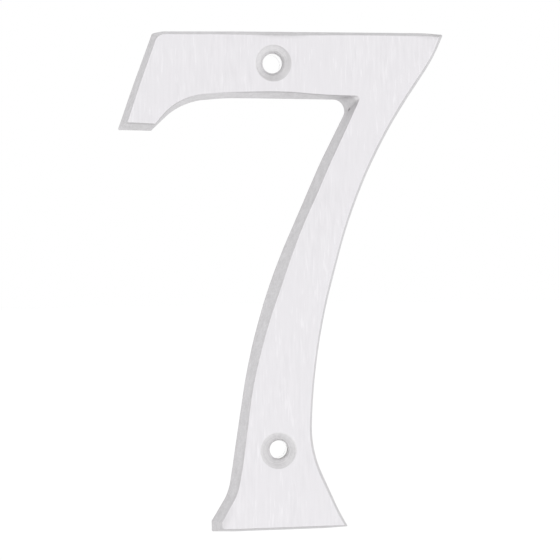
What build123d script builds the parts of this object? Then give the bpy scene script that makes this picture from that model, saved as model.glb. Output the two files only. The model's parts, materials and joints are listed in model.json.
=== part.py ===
from build123d import *
from collections import namedtuple
from math import radians, tan
import os

# House number: a solid cast numeral seven, screwed to a wall through two countersunk holes.
# X runs to the right, Z up and Y into the wall. The back face lies in Y = 0 and the front face
# looks along -Y. The origin is on the back face, midway between the two screw holes.
# Millimetres. Across is measured from the upright line through both screws. A drop is measured
# down from the top edge and a rise up from the foot. Outline sizes are those of the back face.

# Whole casting
HEIGHT = 101.6                # foot to top edge, the four inch size
THICKNESS = 4.7               # back face to front face
ARRIS_R = 0.2                 # edge of the front face, softened by the brushing

# Bar
BAR_DEPTH = 13.63             # top edge to underside, near the spur
BAR_FALL = 0.24               # how much deeper the bar gets towards the stem
BAR_LEFT = 23.8               # left end of the top edge, rounded
BAR_LEFT_BACK_R = 2.2
BAR_LEFT_FRONT_R = 2.9
BAR_TIP = 36.75               # right end of the top edge, a sharp tip
TIP_CUT_ACROSS = 33.25        # lower end of the slanting cut below the tip
TIP_CUT_DROP = 6.9
TIP_CUT_R = 47.0

# Terminal, the spur at the left of the bar
SPUR_POINT_ACROSS = 31.15     # sharp outer point
SPUR_POINT_DROP = 20.04
SPUR_HEEL_ACROSS = 24.42      # inner end, where the hollow under the bar begins
SPUR_HEEL_DROP = 20.2
HOLLOW_ACROSS = 17.25         # the hollow curves into the underside here
HOLLOW_R = 15.6

# Right edge of the stem, three long bends from the tip down to the foot
SHOULDER_ACROSS = 18.9
SHOULDER_DROP = 27.85
SHOULDER_R = 108.0
SHIN_ACROSS = 8.62
SHIN_RISE = 36.75
SHIN_R = 138.0
WAIST_ACROSS = 7.71
WAIST_RISE = 16.25
WAIST_R = 25.0

# Foot
FOOT_RIGHT = 15.0             # sharp right end
FOOT_LEFT = 13.05             # left end, with a short upright edge
FOOT_EDGE = 2.2
INSTEP_ACROSS = 9.5
INSTEP_RISE = 8.15
INSTEP_R = 11.4

# Left edge of the stem, two long bends from the instep up to the bar
CALF_ACROSS = 3.78            # to the left of the screw line
CALF_RISE = 44.0
CALF_R = 125.0
NECK_ACROSS = 10.11           # to the right of it
NECK_DROP = 26.9
NECK_R = 76.0
INNER_ACROSS = 16.9           # inner corner, rounded at the back and all but sharp at the front
INNER_BACK_R = 2.4
INNER_FRONT_R = 0.3

# Draft: how far the walls lean in between the back face and the front face
TOP_RUN = 1.1
TIP_RUN = 1.28                # right edge of bar and stem
FLARE_RUN = 1.12              # right side of the foot
FOOT_RUN = 1.1
FOOT_EDGE_RUN = 1.35
CALF_RUN = 1.5                # left edge of the stem, at its middle
NECK_RUN = 1.2                # and near the bar
INNER_STEM_RUN = 0.8          # stem wall at the inner corner
INNER_BAR_RUN = 0.4           # underside at the inner corner
HOLLOW_RUN = 0.95             # underside at the hollow
HEEL_RUN = 0.65               # and where the hollow ends at the spur
SPUR_RUN = 1.26               # lower end of the spur
SLANT_RUN = 0.88              # outer side of the spur

# Screw holes, countersunk for No. 6 screws
UPPER_SCREW_DROP = 6.8
LOWER_SCREW_RISE = 16.6
SCREW_HOLE_D = 4.0
COUNTERSINK_D = 7.3
COUNTERSINK_ANGLE = 90

# Planes of the two faces, both with their origin where the foot crosses the screw line
upper_screw_rise = HEIGHT - UPPER_SCREW_DROP
screw_middle = (upper_screw_rise + LOWER_SCREW_RISE) / 2
back_plane = Plane(origin=(0, 0, -screw_middle), x_dir=(1, 0, 0), z_dir=(0, -1, 0))
front_plane = back_plane.offset(THICKNESS)

# Corners of the outline, clockwise from the left end of the top edge. Each has its place and radius
# on the back face, its radius on the front face, and the runs of the walls before and after it.
Corner = namedtuple("Corner", "across rise back_r front_r run_before run_after")
underside = HEIGHT - BAR_DEPTH
inner_corner = underside - BAR_FALL
outline = [
    Corner(-BAR_LEFT, HEIGHT, BAR_LEFT_BACK_R, BAR_LEFT_FRONT_R, SLANT_RUN, TOP_RUN),
    Corner(BAR_TIP, HEIGHT, 0, 0, TOP_RUN, TIP_RUN),
    Corner(TIP_CUT_ACROSS, HEIGHT - TIP_CUT_DROP, TIP_CUT_R, TIP_CUT_R, TIP_RUN, TIP_RUN),
    Corner(SHOULDER_ACROSS, HEIGHT - SHOULDER_DROP, SHOULDER_R, SHOULDER_R, TIP_RUN, TIP_RUN),
    Corner(SHIN_ACROSS, SHIN_RISE, SHIN_R, SHIN_R, TIP_RUN, TIP_RUN),
    Corner(WAIST_ACROSS, WAIST_RISE, WAIST_R, WAIST_R, TIP_RUN, FLARE_RUN),
    Corner(FOOT_RIGHT, 0, 0, 0, FLARE_RUN, FOOT_RUN),
    Corner(-FOOT_LEFT, 0, 0, 0, FOOT_RUN, FOOT_EDGE_RUN),
    Corner(-FOOT_LEFT, FOOT_EDGE, 0, 0, FOOT_EDGE_RUN, FOOT_EDGE_RUN),
    Corner(-INSTEP_ACROSS, INSTEP_RISE, INSTEP_R, INSTEP_R, FOOT_EDGE_RUN, FOOT_EDGE_RUN),
    Corner(-CALF_ACROSS, CALF_RISE, CALF_R, CALF_R, CALF_RUN, CALF_RUN),
    Corner(NECK_ACROSS, HEIGHT - NECK_DROP, NECK_R, NECK_R, NECK_RUN, NECK_RUN),
    Corner(INNER_ACROSS, inner_corner, INNER_BACK_R, INNER_FRONT_R, INNER_STEM_RUN, INNER_BAR_RUN),
    Corner(-HOLLOW_ACROSS, underside, HOLLOW_R, HOLLOW_R, HOLLOW_RUN, HOLLOW_RUN),
    Corner(-SPUR_HEEL_ACROSS, HEIGHT - SPUR_HEEL_DROP, 0, 0, HEEL_RUN, SPUR_RUN),
    Corner(-SPUR_POINT_ACROSS, HEIGHT - SPUR_POINT_DROP, 0, 0, SPUR_RUN, SLANT_RUN),
]
count = len(outline)


def side(points, i):
    """The side that follows corner i, as a vector."""
    return points[(i + 1) % count] - points[i]


def leaned_in(points, i):
    """Corner i on the front face, where its two walls meet after leaning in by their runs."""
    before = side(points, i - 1).normalized()
    after = side(points, i).normalized()
    turn = before.X * after.Y - before.Y * after.X
    return points[i] + (before * outline[i].run_after - after * outline[i].run_before) / turn


def rounded(points, radii):
    """Closed outline with rounded corners, cut back where two would overrun the side between them."""
    usable_share = 0.98
    reach = []
    for i, radius in enumerate(radii):
        bend = side(points, i - 1).get_angle(side(points, i))
        reach.append(radius * tan(radians(bend / 2)))
    scale = []
    for i in range(count):
        wanted = reach[i] + reach[(i + 1) % count]
        usable = side(points, i).length * usable_share
        scale.append(usable / wanted if wanted > usable else 1)
    fitted = [radius * min(scale[i - 1], scale[i]) for i, radius in enumerate(radii)]
    return FilletPolyline(*points, radius=fitted, close=True)


back_points = [Vector(corner.across, corner.rise) for corner in outline]
front_points = [leaned_in(back_points, i) for i in range(count)]
back_outline = rounded(back_points, [corner.back_r for corner in outline])
front_outline = rounded(front_points, [corner.front_r for corner in outline])
casting = loft([make_face(back_plane * back_outline), make_face(front_plane * front_outline)], ruled=True)

# Soft edge round the front face
front_face = casting.faces().sort_by(Axis.Y)[0]
casting = fillet(front_face.outer_wire().edges(), ARRIS_R)

# Countersunk screw holes
for rise in (LOWER_SCREW_RISE, upper_screw_rise):
    casting -= front_plane * Pos(0, rise) * CounterSinkHole(
        SCREW_HOLE_D / 2, COUNTERSINK_D / 2, THICKNESS, COUNTERSINK_ANGLE
    )

os.makedirs("parts", exist_ok=True)
casting.label = "numeral_seven"
export_step(casting, "parts/numeral_seven.step")
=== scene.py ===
import json
import math

import bmesh
import bpy
import numpy as np
from mathutils import Matrix, Vector, noise
from mathutils.geometry import delaunay_2d_cdt
from mathutils.kdtree import KDTree


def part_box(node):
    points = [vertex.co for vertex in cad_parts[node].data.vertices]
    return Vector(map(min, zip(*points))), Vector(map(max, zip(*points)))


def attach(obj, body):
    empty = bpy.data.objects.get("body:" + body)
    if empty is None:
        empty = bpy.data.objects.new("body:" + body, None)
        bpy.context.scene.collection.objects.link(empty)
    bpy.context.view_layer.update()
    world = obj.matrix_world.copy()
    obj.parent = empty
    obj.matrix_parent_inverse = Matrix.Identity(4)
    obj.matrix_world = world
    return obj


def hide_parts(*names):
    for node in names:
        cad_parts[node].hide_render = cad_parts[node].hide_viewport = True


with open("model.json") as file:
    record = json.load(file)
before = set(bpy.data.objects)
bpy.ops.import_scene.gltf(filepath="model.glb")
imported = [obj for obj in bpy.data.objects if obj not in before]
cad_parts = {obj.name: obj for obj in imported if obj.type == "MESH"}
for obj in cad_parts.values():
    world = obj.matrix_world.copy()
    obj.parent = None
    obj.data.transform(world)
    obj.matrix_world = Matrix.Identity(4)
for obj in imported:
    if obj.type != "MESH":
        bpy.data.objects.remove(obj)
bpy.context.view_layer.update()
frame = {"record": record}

# Cast walls
# The whole number is one aluminium casting. Its walls lean in from the back to the face, so that
# the pattern drew out of the sand, and they keep the matt, slightly uneven skin of the mould.
MM = 0.001                       # lengths are in millimetres until the mesh is made
low, high = (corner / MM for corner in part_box("numeral_seven"))
foot, top = low.z, high.z
thickness = high.y - low.y
crisp = 0.15                     # radius of a corner that the mould left sharp
# Corners of the back, clockwise from the left end of the top edge: across, height, radius there,
# radius at the face, and how far the walls before and after the corner lean in.
outline = np.array([
    (-24.00, top - 0.60, 0.60, 2.20, 0.81, 1.00),       # left end of the bar, flattened
    (-21.90, top - 0.12, 4.50, 3.00, 1.00, 1.06),
    (-6.00, top, 300.0, 300.0, 1.06, 1.06),             # top edge
    (32.60, top, 40.0, 40.0, 1.06, 1.06),
    (36.50, top - 0.34, 0.25, 0.20, 1.10, 1.40),        # tip, which droops a little
    (34.99, top - 3.78, 40.0, 40.0, 1.26, 1.26),
    (33.25, top - 6.90, 47.0, 47.0, 1.20, 1.20),        # end of the slanting cut below the tip
    (18.90, top - 27.85, 108.0, 108.0, 1.34, 1.34),     # right edge of the stem
    (8.62, foot + 36.75, 138.0, 138.0, 1.27, 1.27),
    (7.71, foot + 16.25, 25.0, 25.0, 1.32, 1.20),
    (13.22, foot + 3.90, 20.0, 20.0, 1.02, 1.02),       # foot, from its right end to its left
    (15.22, foot + 0.20, crisp, crisp, 1.00, 0.92),
    (10.60, foot, 60.0, 60.0, 1.07, 1.07),
    (-8.50, foot, 60.0, 60.0, 1.10, 1.10),
    (-13.05, foot + 0.20, 0.30, 0.40, 1.10, 1.62),
    (-13.10, foot + 2.35, crisp, crisp, 1.62, 1.28),
    (-9.50, foot + 8.15, 11.4, 11.4, 1.18, 1.18),       # instep
    (-3.78, foot + 44.0, 125.0, 125.0, 1.50, 1.50),     # left edge of the stem
    (10.11, top - 26.90, 76.0, 76.0, 1.20, 1.20),
    (16.83, top - 13.87, 2.30, 0.55, 0.78, 0.42),       # inner corner
    (-5.00, top - 13.61, 250.0, 250.0, 0.66, 0.66),     # underside of the bar
    (-9.20, top - 13.61, 40.0, 40.0, 0.74, 0.74),
    (-18.20, top - 14.36, 13.3, 12.0, 0.88, 1.32),      # hollow
    (-24.42, top - 20.20, crisp, crisp, 0.55, 1.10),    # lower end of the spur
    (low.x, top - 20.04, 0.25, 0.20, 1.24, 1.02),
    (-28.13, top - 11.46, 300.0, 300.0, 0.88, 0.88),    # outer side of the spur
])
back_corners, back_radii, face_radii = outline[:, :2], outline[:, 2], outline[:, 3]
run_before, run_after = outline[:, 4], outline[:, 5]


def cross(a, b):
    return a[:, 0] * b[:, 1] - a[:, 1] * b[:, 0]


def side_directions(corners):
    """Directions of the sides before and after each corner, and the lengths of those after."""
    side = np.roll(corners, -1, axis=0) - corners
    length = np.linalg.norm(side, axis=1)
    after = side / length[:, None]
    return np.roll(after, 1, axis=0), after, length


def moved_in(corners, before_by, after_by):
    """The corners once the sides before and after each one have moved in."""
    before, after, _ = side_directions(corners)
    shift = before * after_by[:, None] - after * before_by[:, None]
    return corners + shift / cross(before, after)[:, None]


def bends(corners, radii):
    """Turn at each corner, its radius cut back to fit the sides, and the length of side it uses."""
    usable_share = 0.98
    before, after, length = side_directions(corners)
    turn = np.arctan2(cross(before, after), (before * after).sum(axis=1))
    reach = radii * np.tan(np.abs(turn) / 2)
    room = np.minimum(1, usable_share * length / (reach + np.roll(reach, -1)))
    share = np.minimum(room, np.roll(room, 1))
    return turn, radii * share, reach * share


def walked(corners, radii, arc_steps, side_steps):
    """Points round the outline: each corner's arc, then the straight side after it."""
    turn, radii, reach = bends(corners, radii)
    before, _, _ = side_directions(corners)
    starts = corners - before * reach[:, None]
    loop = []
    for i, start in enumerate(starts):
        spoke = np.array((before[i][1], -before[i][0])) * math.copysign(radii[i], turn[i])
        for bend in np.linspace(0, turn[i], arc_steps[i] + 1):
            cos, sin = math.cos(bend), math.sin(bend)
            turned = np.array((spoke[0] * cos - spoke[1] * sin, spoke[0] * sin + spoke[1] * cos))
            loop.append(start - spoke + turned)
        end, following = loop[-1], starts[(i + 1) % len(starts)]
        for share in np.linspace(0, 1, side_steps[i] + 1)[1:-1]:
            loop.append(end + (following - end) * share)
    return np.array(loop)


pitch = 0.4                      # between the points along the outline
turn, fitted, reach = bends(back_corners, np.maximum(back_radii, face_radii))
arc_steps = np.maximum(4, np.ceil(fitted * np.abs(turn) / pitch)).astype(int)
straight = side_directions(back_corners)[2] - reach - np.roll(reach, -1)
side_steps = np.maximum(2, np.ceil(straight / pitch)).astype(int)
face_corners = moved_in(back_corners, run_before, run_after)
back_loop = walked(back_corners, back_radii, arc_steps, side_steps)
face_loop = walked(face_corners, face_radii, arc_steps, side_steps)


def inset(corners, radii, by):
    """The outline moved in by a small even amount, with as many points."""
    least_radius = 0.04
    before, after, _ = side_directions(corners)
    inner_radii = np.maximum(least_radius, radii + by * np.sign(cross(before, after)))
    every = np.full(len(corners), by)
    return walked(moved_in(corners, every, every), inner_radii, arc_steps, side_steps)


along = np.roll(face_loop, -1, axis=0) - np.roll(face_loop, 1, axis=0)
inward = np.column_stack((along[:, 1], -along[:, 0]))
inward /= np.linalg.norm(inward, axis=1)[:, None]

# The face was ground and brushed by hand. In some places that took more off the edge, and in some
# it rolled the edge over. Place across and up, width of the place, and by how much.
ground_spots = (
    (1.5, top, 6.0, 0.08),
    (1.8, top - 13.4, 9.0, 0.48),
    (9.5, top - 13.5, 4.0, -0.11),
    (5.4, 6.5, 4.5, -0.16),
    (0.2, -6.0, 7.0, 0.27),
    (-4.8, -27.5, 7.0, -0.27),
    (-7.2, -42.0, 4.0, 0.10),
    (-9.5, -50.5, 3.5, -0.20),
)
rolled_spots = (
    (2.5, top, 7.0, 1.00),
    (30.0, top, 5.0, 0.60),
    (-28.0, top - 18.0, 3.0, 0.15),
    (-13.5, top - 13.3, 5.0, 0.30),
    (17.0, top - 13.5, 1.3, 0.30),
    (35.0, top - 0.5, 2.0, 0.35),
)


def over_edge(spots):
    """How much the spots together come to at each point of the face's outline."""
    amounts = 0
    for x, z, width, amount in spots:
        amounts = amounts + amount * np.exp(-((face_loop - (x, z)) ** 2).sum(axis=1) / width ** 2)
    return amounts


def at_depth(loop, y):
    """A row of points in space from an outline loop and its place in the thickness."""
    return np.column_stack((loop[:, 0], np.full(len(loop), y), loop[:, 1]))


arris = 0.16                     # softened edge round the face
back_arris = 0.10                # and round the back
roll_width, roll_depth = 1.4, 0.35               # of an edge that is rolled right over
least_roll = 0.02                # share of that all along the edge
wall_rows = 12
ground_off = inward * over_edge(ground_spots)[:, None]
rolled = least_roll + over_edge(rolled_spots)
base_row = at_depth(back_loop, 0)
edge_row = at_depth(face_loop + ground_off, -thickness)
narrow = inset(face_corners, face_radii, arris)
wide = inset(face_corners, face_radii, roll_width)
face_row = at_depth(narrow + (wide - narrow) * rolled[:, None] + ground_off, -thickness)
back_row = at_depth(inset(back_corners, back_radii, back_arris), 0)
up_wall = edge_row - base_row
up_wall /= np.linalg.norm(up_wall, axis=1)[:, None]
wall_start = base_row + up_wall * back_arris
wall_end = edge_row - up_wall * (arris + roll_depth * rolled)[:, None]


def eased(start, corner, end, steps):
    """Rows that turn smoothly from one row to another past a corner row."""
    shares = np.linspace(0, 1, steps + 1)
    return [start * (1 - t) ** 2 + corner * 2 * t * (1 - t) + end * t ** 2 for t in shares]


rows = eased(back_row, base_row, wall_start, steps=3)
rows += [wall_start + (wall_end - wall_start) * t for t in np.linspace(0, 1, wall_rows + 1)[1:-1]]
rows += eased(wall_end, edge_row, face_row, steps=6)

# The skin of the mould only ever falls back from the drawn outline.
skin_waves = ((4.0, 0.030), (1.3, 0.012))        # length and height
deepest = sum(height for _, height in skin_waves)


def skin_depth(place):
    """How far the skin falls back at a place."""
    wave = sum(height * noise.noise(Vector(place) / length) for length, height in skin_waves)
    return (deepest + wave) / 2


sharp_radius = 1.0               # a corner with less than this counts as sharp
calm_reach = (0.3, 1.8)          # from no unevenness beside a sharp corner to all of it
sharp_corners = back_corners[back_radii < sharp_radius]
to_corner = np.linalg.norm(back_loop[:, None] - sharp_corners[None], axis=2).min(axis=1)
uneven = np.interp(to_corner, calm_reach, (0, 1))
inward_row = at_depth(inward, 0)
rows = [row + inward_row * (uneven * [skin_depth(place) for place in row])[:, None] for row in rows]
points, faces, finish_of_face = [], [], []


def add_points(row):
    """Adds a row of points and gives their numbers."""
    first = len(points)
    points.extend(row)
    return list(range(first, len(points)))


def join_rows(row, other, finish):
    """A band of faces between two closed rows with as many points."""
    for i in range(len(row)):
        faces.append((row[i - 1], row[i], other[i], other[i - 1]))
        finish_of_face.append(finish)


CAST, TURNED, DRILLED, FLAT = range(4)
wall_points = [add_points(row) for row in rows]
for row, other in zip(wall_points, wall_points[1:]):
    join_rows(row, other, CAST)


class Wire:
    """A value on its way through a finish. Sums written with it become Math nodes."""

    def __init__(self, socket):
        self.socket = socket
        self.tree = socket.id_data

    def node(self, kind, settings=None, sockets=None, output=0):
        """Another node of the same finish: its settings, then the values or links of its sockets."""
        made = self.tree.nodes.new(kind)
        for name, value in (settings or {}).items():
            setattr(made, name, value)
        for name, value in (sockets or {}).items():
            if isinstance(value, Wire):
                self.tree.links.new(value.socket, made.inputs[name])
            else:
                made.inputs[name].default_value = value
        return Wire(made.outputs[output]) if made.outputs else None

    def maths(self, operation, *others, clamp=False):
        """This value and others put through a Math node."""
        settings = {"operation": operation, "use_clamp": clamp}
        return self.node("ShaderNodeMath", settings, dict(enumerate((self, *others))))

    def __add__(self, other):
        return self.maths("ADD", other)

    def __sub__(self, other):
        return self.maths("SUBTRACT", other)

    def __rsub__(self, other):
        return self.maths("MULTIPLY_ADD", -1, other)

    def __mul__(self, other):
        return self.maths("MULTIPLY", other)

    def __abs__(self):
        return self.maths("ABSOLUTE")

    __radd__, __rmul__ = __add__, __mul__

    def axis(self, name):
        """One part of a place or direction."""
        return self.node("ShaderNodeSeparateXYZ", {}, {0: self}, output=name)

    def facing(self):
        """The direction in which the surface looks."""
        return self.node("ShaderNodeTexCoord", output="Normal")

    def between(self, low, high):
        """A smooth rise from 0 to 1 as the value goes from one limit to the other."""
        sockets = {"Value": self, "From Min": low, "From Max": high}
        return self.node("ShaderNodeMapRange", {"interpolation_type": "SMOOTHSTEP"}, sockets)

    def around(self, spot, reach, core):
        """1 where a place is within the core of a spot, and from there down to nought at its reach."""
        settings, sockets = {"operation": "DISTANCE"}, {0: self, 1: spot}
        return self.node("ShaderNodeVectorMath", settings, sockets, output="Value").between(reach, core)

    def stretched(self, x, y, z):
        """A place scaled along each axis."""
        return self.node("ShaderNodeVectorMath", {"operation": "MULTIPLY"}, {0: self, 1: (x, y, z)})

    def grain(self, size, detail=2.0):
        """Noise with features of a size in millimetres, from about -1 to 1."""
        sockets = {"Vector": self, "Scale": 1 / size, "Detail": detail}
        return (self.node("ShaderNodeTexNoise", {}, sockets) - 0.5) * 4

    def blend(self, first, second):
        """A colour between two others, from a share between 0 and 1."""
        sockets = {0: self}
        for socket, colour in ((6, first), (7, second)):
            sockets[socket] = colour if isinstance(colour, Wire) else (*colour, 1)
        return self.node("ShaderNodeMix", {"data_type": "RGBA"}, sockets, output=2)

    def tint(self, dark, light):
        """A colour between two, from a value that runs from -1 to 1."""
        return self.maths("MULTIPLY_ADD", 0.5, 0.5, clamp=True).blend(dark, light)

    def bump(self, height):
        """The surface raised by this value times a height in millimetres."""
        return self.node("ShaderNodeBump", {}, {"Height": self, "Distance": height * MM, "Strength": 1.0})


def new_finish(name):
    """An empty finish, and the place on the piece in millimetres that its pattern starts from."""
    finish = bpy.data.materials.new(name)
    finish.use_nodes = True
    finish.node_tree.nodes.clear()
    place = Wire(finish.node_tree.nodes.new("ShaderNodeTexCoord").outputs["Object"])
    return finish, place.stretched(1 / MM, 1 / MM, 1 / MM)


def as_metal(place, colour, roughness, normal, rim=0.8, metallic=1.0):
    """Ends a finish as bare metal, whose sheen at a glancing angle is dulled or full."""
    metal = place.node("ShaderNodeBsdfPrincipled", {}, {
        "Base Color": colour,
        "Metallic": metallic,
        "Roughness": roughness,
        "Normal": normal,
        "Specular Tint": (rim, rim, rim, 1),
    })
    place.node("ShaderNodeOutputMaterial", {}, {"Surface": metal})


# The finish of the walls blends over the edge into that of the face, so the two are one material.
casting, on_skin = new_finish("cast_and_brushed")
across, depth, upright = (on_skin.axis(name) for name in "XYZ")
inwards, upwards = (on_skin.facing().axis(name) for name in "YZ")
towards_us = inwards.between(-0.05, -0.45)
looking_up = upwards.between(0.5, 0.9)
looking_down = upwards.between(-0.3, -0.9)
level = abs(upwards).between(0.5, 0.9)
mottle = on_skin.grain(1.7, detail=3) * 0.45 + on_skin.grain(0.40) * 0.55
grit = on_skin.grain(0.30, detail=3) * 0.6 + on_skin.grain(0.9) * 0.4
# Painted light: the level walls of the bar are paler towards its left.
pale = level * across.between(5.0, -10.0) * upright.between(top - 20.0, top - 15.0)
# Painted shade in the inner corner and beside it, and a blow hole there painted dark as shade in its pit.
in_corner = on_skin.around((16.0, -2.2, top - 14.8), 5.5, 2.0)
beside_corner = on_skin.around((13.4, -2.5, top - 13.7), 3.2, 1.2)
blow_hole = on_skin.around((16.2, -1.7, top - 15.9), 0.55, 0.15)
# Painted shade: a fine dark line below the edge of the face, strongest where a wall looks down and
# left out over the hollow. A fainter painted shade line runs along the edge of the back.
over_hollow = on_skin.around((-13.5, -4.5, top - 13.6), 8.0, 3.0)
line_strength = (0.05 + looking_down * 0.14) * (1 - in_corner) * (1 - over_hollow)
painted_face_edge_shade = depth.between(-3.7, -4.4) * line_strength
painted_back_edge_shade = depth.between(-0.6, -0.1) * 0.05
# Painted shade on the up-looking top edge at the tip, and the stem a little darker towards the foot.
painted_shade_at_tip = looking_up * on_skin.around((35.8, -2.5, top), 3.2, 2.0)
low_down = upright.between(-25.0, -52.0)
# Painted light at the point of the inner corner, brightening it against the shade there.
corner_point = (16.8, -4.5, top - 13.65)
corner_point_light = on_skin.around(corner_point, 1.4, 0.6)
painted_light_in_corner = on_skin.around(corner_point, 3.0, 1.2) * (1 - towards_us) * 0.3 + corner_point_light * 0.6
# All the painted shade above, with the blow hole and the darkening towards the foot, takes the cast colour
# towards near black.
all_painted_shade = (
    painted_face_edge_shade + painted_back_edge_shade + low_down * 0.04 + in_corner * towards_us * 0.10
    + beside_corner * 0.08 + blow_hole * 0.35 + painted_shade_at_tip * 0.16
)
# Mottle of the skin, plus the painted light on the level walls.
cast_colour = (mottle + pale * 0.4).tint((0.60, 0.59, 0.60), (0.80, 0.79, 0.805))
# The painted light at the corner point.
cast_colour = painted_light_in_corner.blend(cast_colour, (0.95, 0.94, 0.95))
cast_colour = all_painted_shade.blend(cast_colour, (0.10, 0.09, 0.085))
cast_roughness = 0.58 + mottle * 0.06
cast_relief = grit * 0.012 - blow_hole * 0.2

# Screw holes
# Two clearance holes for countersunk wood screws, drilled after the casting was cleaned up. The
# countersinks were turned with a hand-fed tool, which left rings, and the drill came through a
# little off their middle. Its bore is the smoothest metal of the number.
screw_mounts = [mount for mount in frame["record"]["mounts"] if mount["kind"] == "bore"]
screw_heights = [mount["pos_m"][2] / MM for mount in screw_mounts]
countersink_r = 3.65
cone_slope, steep_slope = 0.84, 1.2              # depth for each millimetre of radius
# The upper hole, then the lower: middle of the countersink and of the bore, across and up from the
# marked place, radius of the bore, and radius from which the countersink gets steeper.
hole_sizes = (
    ((-0.05, -0.05), (-0.01, -0.015), 1.97, 2.30),
    ((0.08, 0.06), (0.39, 0.13), 1.85, 1.98),
)
# Rounded edges of a hole, each as steps outwards and down: at the face, in the throat, at the back.
mouth_edge = ((0.06, 0.0), (0.02, 0.012), (-0.04, 0.05))
throat_edge = ((0.05, 0.0), (0.01, 0.06), (0.0, 0.14))
back_edge = ((0.0, -0.1), (0.03, -0.03), (0.1, 0.0))


def edge_at(edge, radius, depth):
    """A rounded edge set at a radius and a depth below the face."""
    return [(radius + out, depth + down) for out, down in edge]


def straight_on(start, end, steps):
    """Points of a profile between two others, without the first and the last."""
    return list(np.linspace(start, end, steps + 1)[1:-1])


hole_steps = 96
round_hole = np.linspace(0, 2 * math.pi, hole_steps, endpoint=False)
face_rims, back_rims = [], []
for screw_height, (countersunk_at, drilled_at, bore_r, steep_r) in zip(screw_heights, hole_sizes):
    steep_depth = (countersink_r - steep_r) * cone_slope
    throat_depth = steep_depth + (steep_r - bore_r) * steep_slope
    # Each profile runs from the face to the back: radius, then depth below the face.
    mouth = edge_at(mouth_edge, countersink_r, 0)
    throat = edge_at(throat_edge, bore_r, throat_depth)
    way_out = edge_at(back_edge, bore_r, thickness)
    steeper = (steep_r, steep_depth)
    cone = mouth + straight_on(mouth[-1], steeper, 6) + [steeper]
    cone += straight_on(steeper, throat[0], 4) + throat[:1]
    bore = throat[1:] + straight_on(throat[-1], way_out[0], 4) + way_out
    hole_rows = []
    for radius, down in cone + bore:
        drift = (np.array(drilled_at) - countersunk_at) * min(1, down / throat_depth)
        middle_x, middle_z = np.array(countersunk_at) + drift
        hole_rows.append(add_points(np.column_stack((
            middle_x + radius * np.cos(round_hole),
            np.full(hole_steps, down - thickness),
            screw_height + middle_z + radius * np.sin(round_hole),
        ))))
    for i, (row, other) in enumerate(zip(hole_rows, hole_rows[1:])):
        join_rows(row, other, TURNED if i < len(cone) else DRILLED)
    face_rims.append(hole_rows[0])
    back_rims.append(hole_rows[-1])

turned, in_cone = new_finish("turned_metal")
cone_across, cone_up = in_cone.axis("X"), in_cone.axis("Z")
# The two holes lie as far above and below the middle, so one distance serves for both.
off_middle = abs(cone_up) - max(screw_heights)
from_axis = (cone_across * cone_across + off_middle * off_middle).maths("SQRT")
ring_width = 0.34
ring_sockets = {"W": from_axis, "Scale": 1 / ring_width}
rings = (in_cone.node("ShaderNodeTexNoise", {"noise_dimensions": "1D"}, ring_sockets) - 0.5) * 4
smear = in_cone.grain(0.5)
# Painted shade on what looks up in each countersink, and painted light at the left of its throat. The
# upper one has more painted shade, most of all at its right, and painted shading of a broad ridge round it.
painted_shade_facing_up = in_cone.facing().axis("Z").between(-0.6, 0.6)
upper = cone_up.between(-1.0, 1.0)
at_left = cone_across.between(-0.3, -1.4)
painted_light_in_throat = (from_axis - upper * 0.5).between(2.1, 1.7) * at_left
darker = upper * (0.55 + cone_across * 0.3)
ridge_r, ridge_width = 2.9, 1.3
painted_ridge_shading = upper * ((from_axis - ridge_r) * (2 * math.pi / ridge_width)).maths("COSINE") * 0.5
# Tone of the countersinks: turning rings and smears, with the painted light and shade.
brightness = (
    0.75 + rings * 0.8 + smear * 0.4 + painted_ridge_shading + painted_light_in_throat * 1.2
    - painted_shade_facing_up * (1.6 - upper * 0.3) - darker
)
as_metal(
    in_cone,
    colour=brightness.tint((0.67, 0.66, 0.67), (0.88, 0.87, 0.88)),
    roughness=0.50 + rings * 0.05,
    normal=(rings + smear * 0.2).bump(0.008),
)

drilled, in_bore = new_finish("drilled_metal")
turns = in_bore.stretched(1, 12, 1).grain(1.2)
# Painted shade, dark and not metallic, in the throat of the lower hole at its right.
painted_shade_in_bore = in_bore.axis("Y").between(-1.9, -2.6) * in_bore.around((1.80, -3.0, -40.15), 2.3, 1.8)
bore_colour = turns.tint((0.93, 0.93, 0.93), (0.97, 0.97, 0.97))
as_metal(
    in_bore,
    colour=painted_shade_in_bore.blend(bore_colour, (0.17, 0.16, 0.15)),
    roughness=0.10 + turns * 0.03,
    normal=turns.bump(0.001),
    rim=1.0,
    metallic=1 - painted_shade_in_bore,
)

# Brushed face
# The front was ground flat and brushed upright on a belt. The brush leaves fine upright lines in a
# pale satin metal and rounds the edges of the face a little.


def crossings(spots, loops):
    """How many times a line to the right of each spot meets the loops."""
    count = np.zeros(len(spots), int)
    for loop in loops:
        for (ax, az), (bx, bz) in zip(loop, np.roll(loop, -1, axis=0)):
            spans = (az > spots[:, 1]) != (bz > spots[:, 1])
            if spans.any():
                meets = ax + (spots[:, 1] - az) / (bz - az) * (bx - ax)
                count += spans & (spots[:, 0] < meets)
    return count


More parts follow.
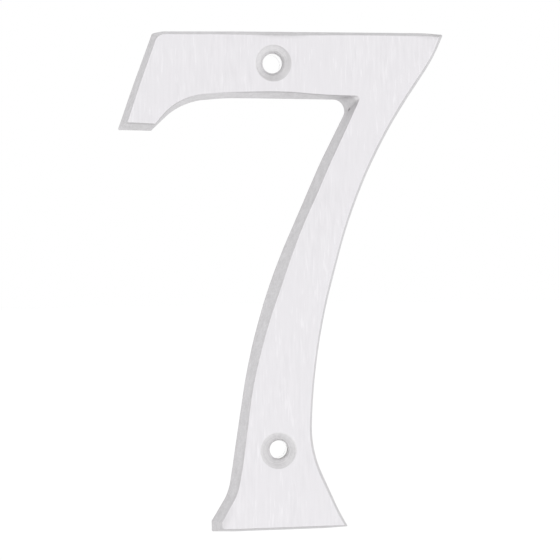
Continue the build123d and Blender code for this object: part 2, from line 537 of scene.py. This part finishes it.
def fill(outer, holes, spacing, finish):
    """A flat face inside a closed row and round the hole rows, with points spread over it."""
    y = points[outer[0]][1]
    used = [point for row in (outer, *holes) for point in row]
    loops = [np.array([points[p] for p in row])[:, [0, 2]] for row in (outer, *holes)]
    border = np.vstack(loops)
    edges, first = [], 0
    for loop in loops:
        edges += [(first + i, first + (i + 1) % len(loop)) for i in range(len(loop))]
        first += len(loop)
    tree = KDTree(len(border))
    for i, (x, z) in enumerate(border):
        tree.insert((x, z, 0), i)
    tree.balance()
    # The points stand in even triangles, clear of the border.
    row_spacing, row_shift, clearance = spacing * 0.87, spacing * 0.5, spacing * 0.6
    (left, bottom), (right, upper) = border.min(axis=0), border.max(axis=0)
    spots = np.array([
        (x + row_shift * (i % 2), z)
        for i, z in enumerate(np.arange(bottom, upper, row_spacing))
        for x in np.arange(left, right, spacing)
    ])
    spots = spots[crossings(spots, loops) % 2 == 1]
    spots = np.array([spot for spot in spots if tree.find((*spot, 0))[2] > clearance])
    used += add_points(at_depth(spots, y))
    flat = [Vector(spot) for spot in np.vstack((border, spots))]
    only_inside, same_point = 1, 1e-6
    _, _, triangles, origins, _, _ = delaunay_2d_cdt(flat, edges, [], only_inside, same_point)
    triangles = [[origins[corner][0] for corner in triangle] for triangle in triangles]
    middles = np.array([(flat[a] + flat[b] + flat[c]) / 3 for a, b, c in triangles])
    for triangle, count in zip(triangles, crossings(middles, loops)):
        if count % 2 == 1:
            faces.append(tuple(used[corner] for corner in triangle))
            finish_of_face.append(finish)


fill(wall_points[-1], face_rims, spacing=1.2, finish=CAST)

fine_lines = on_skin.stretched(1, 1, 1 / 25).grain(0.16)
broad_lines = on_skin.stretched(1, 1, 1 / 8).grain(0.60)
bright_lines = on_skin.stretched(1, 1, 1 / 9).grain(0.45, detail=1).between(0.45, 1.0)
patches = on_skin.stretched(1, 1, 1 / 2).grain(6.0).between(-0.6, 0.8) + 0.25
lines = fine_lines * 0.14 + broad_lines * patches * 0.6 + bright_lines * 0.9 - 0.15
# Painted shade dims the face at the middle of the top edge, at the tip and at the left end of the foot,
# where the edges roll over.
near_top = upright.between(top - 2.2, top - 0.9)
shade_at_top_middle = near_top * on_skin.around((2.0, -4.7, top), 6.5, 2.0)
tip = (35.5, -4.7, top - 1.0)
tip_edge = near_top * on_skin.around(tip, 8.0, 3.0)
at_instep = upright.between(foot + 6.5, foot + 2.5)
instep_side = across - (upright - foot) * 0.45   # slants as the edge there does
instep_edge = at_instep * instep_side.between(-10.8, -12.2)
# The painted shade at these edges, summed.
dulled = shade_at_top_middle * 0.58 + tip_edge * 0.35 + on_skin.around(tip, 6.0, 1.0) * 0.15 + instep_edge * 0.38
brushed_colour = lines.tint((0.778, 0.763, 0.787), (0.884, 0.869, 0.893))
# The face is mixed towards grey by the painted edge shade.
brushed_colour = dulled.blend(brushed_colour, (0.60, 0.59, 0.60))
# The brush reached whatever looks forwards, and a little of the wall at the instep.
rubbed = depth.between(-3.8, -4.7) * at_instep * instep_side.between(-10.0, -11.5)
brushed = inwards.between(-0.68, -1.0).maths("MAXIMUM", rubbed * 0.4)
as_metal(
    on_skin,
    colour=brushed.blend(cast_colour, brushed_colour),
    roughness=cast_roughness * (1 - brushed) + (0.36 + lines * 0.05) * brushed,
    normal=(cast_relief * (1 - brushed) + lines * 0.003 * brushed).bump(1.0),
)

# Flat back
# The side that lies against the wall is plain. It was rubbed flat on a coarse belt, so it sits
# without rocking, and it is duller than the face.
fill(wall_points[0], back_rims, spacing=2.0, finish=FLAT)

flat_back, on_back = new_finish("rubbed_back")
scratches = on_back.stretched(1 / 25, 1, 1).grain(0.3, detail=3) * 0.6 + on_back.grain(1.2) * 0.4
as_metal(
    on_back,
    colour=scratches.tint((0.60, 0.59, 0.60), (0.72, 0.71, 0.73)),
    roughness=0.5 + scratches * 0.06,
    normal=scratches.bump(0.006),
)

# The finished number
# Walls, face, holes and back are one closed skin, as the casting is one piece of metal. It takes
# the place of the plain solid.
skin = bpy.data.meshes.new("seven_casting")
skin.from_pydata([Vector(point) * MM for point in points], [], faces)
for finish in (casting, turned, drilled, flat_back):
    skin.materials.append(finish)
skin.polygons.foreach_set("material_index", finish_of_face)
skin.polygons.foreach_set("use_smooth", [True] * len(faces))
shell = bmesh.new()
shell.from_mesh(skin)
bmesh.ops.recalc_face_normals(shell, faces=shell.faces)
shell.to_mesh(skin)
shell.free()
seven = bpy.data.objects.new("seven_casting", skin)
bpy.context.scene.collection.objects.link(seven)
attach(seven, "root")
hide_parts("numeral_seven")

# Studio
# A white room with a pale floor some way below the number, a large soft lamp at the upper left and
# a weaker one at the right. The floor keeps the shadow of the number.
scene = bpy.context.scene
scene.view_settings.view_transform = "Standard"
floor_drop, floor_half = 30.0, 3000.0
floor_z = foot - floor_drop
floor_corners = [(x * floor_half, y * floor_half, floor_z) for x, y in ((-1, -1), (1, -1), (1, 1), (-1, 1))]
floor_mesh = bpy.data.meshes.new("floor")
floor_mesh.from_pydata([Vector(corner) * MM for corner in floor_corners], [], [(0, 1, 2, 3)])
floor = bpy.data.objects.new("floor", floor_mesh)
scene.collection.objects.link(floor)

# The paper of the floor shows as white to the camera and to shiny metal, but lights the number only
# as much as pale paper does.
paper, on_floor = new_finish("floor_paper")
camera_ray, shiny_ray, clear_ray = (
    on_floor.node("ShaderNodeLightPath", output=ray)
    for ray in ("Is Camera Ray", "Is Glossy Ray", "Is Transmission Ray")
)
seen = (camera_ray + shiny_ray).maths("ADD", clear_ray, clamp=True)
far_off = on_floor.axis("Y").between(300.0, 1500.0)
white_glow = far_off.blend((0.215, 0.215, 0.215), (0.25, 0.25, 0.25))
sheet = on_floor.node("ShaderNodeBsdfDiffuse", {}, {"Color": (0.82, 0.82, 0.82, 1)})
glow = on_floor.node("ShaderNodeEmission", {}, {"Color": white_glow, "Strength": 1.0})
lit = on_floor.node("ShaderNodeAddShader", {}, {0: sheet, 1: glow})
shown = on_floor.node("ShaderNodeMixShader", {}, {0: seen, 1: sheet, 2: lit})
on_floor.node("ShaderNodeOutputMaterial", {}, {"Surface": shown})
floor_mesh.materials.append(paper)

# The room is white all round, and a little greyer high up behind the number.
room = bpy.data.worlds.new("white_room")
room.use_nodes = True
room.node_tree.nodes.clear()
outwards = Wire(room.node_tree.nodes.new("ShaderNodeTexCoord").outputs["Generated"])
high_behind = outwards.axis("Y").between(0.0, 0.8) * outwards.axis("Z").between(0.15, 0.70)
room_white = high_behind.blend((1.0, 1.0, 1.0), (0.75, 0.75, 0.75))
light = outwards.node("ShaderNodeBackground", {}, {"Color": room_white, "Strength": 1.0})
outwards.node("ShaderNodeOutputWorld", {}, {"Surface": light})
scene.world = room


def soft_lamp(name, place, size, power):
    """A square soft lamp that looks at the middle of the number."""
    lamp = bpy.data.lights.new(name, "AREA")
    lamp.size, lamp.energy = size * MM, power
    holder = bpy.data.objects.new(name, lamp)
    holder.location = Vector(place) * MM
    holder.rotation_euler = holder.location.to_track_quat("Z", "Y").to_euler()
    scene.collection.objects.link(holder)


soft_lamp("key_lamp", place=(-700, -700, 800), size=1000, power=1.0)
soft_lamp("side_lamp", place=(900, -500, 300), size=1000, power=0.7)

# Camera
# The number is looked at from a little to its left and almost level, from about 400 mm away, with a
# long lens that is held very slightly askew.
azimuth, elevation, roll = math.radians(-10.35), math.radians(0.69), math.radians(-0.676)
distance = 397.4
looked_at = Vector((1.64, 0, -4.68))
turned_to = Matrix.Rotation(azimuth, 4, "Z") @ Matrix.Rotation(math.pi / 2 - elevation, 4, "X")
stands_at = looked_at + turned_to.to_3x3() @ Vector((0, 0, distance))
camera = bpy.data.objects.new("camera", bpy.data.cameras.new("camera"))
camera.data.lens, camera.data.sensor_width = 125.25, 36.0
camera.data.clip_start, camera.data.clip_end = 0.01, 20.0
camera.matrix_world = Matrix.Translation(stands_at * MM) @ turned_to @ Matrix.Rotation(roll, 4, "Z")
scene.collection.objects.link(camera)
scene.camera = camera
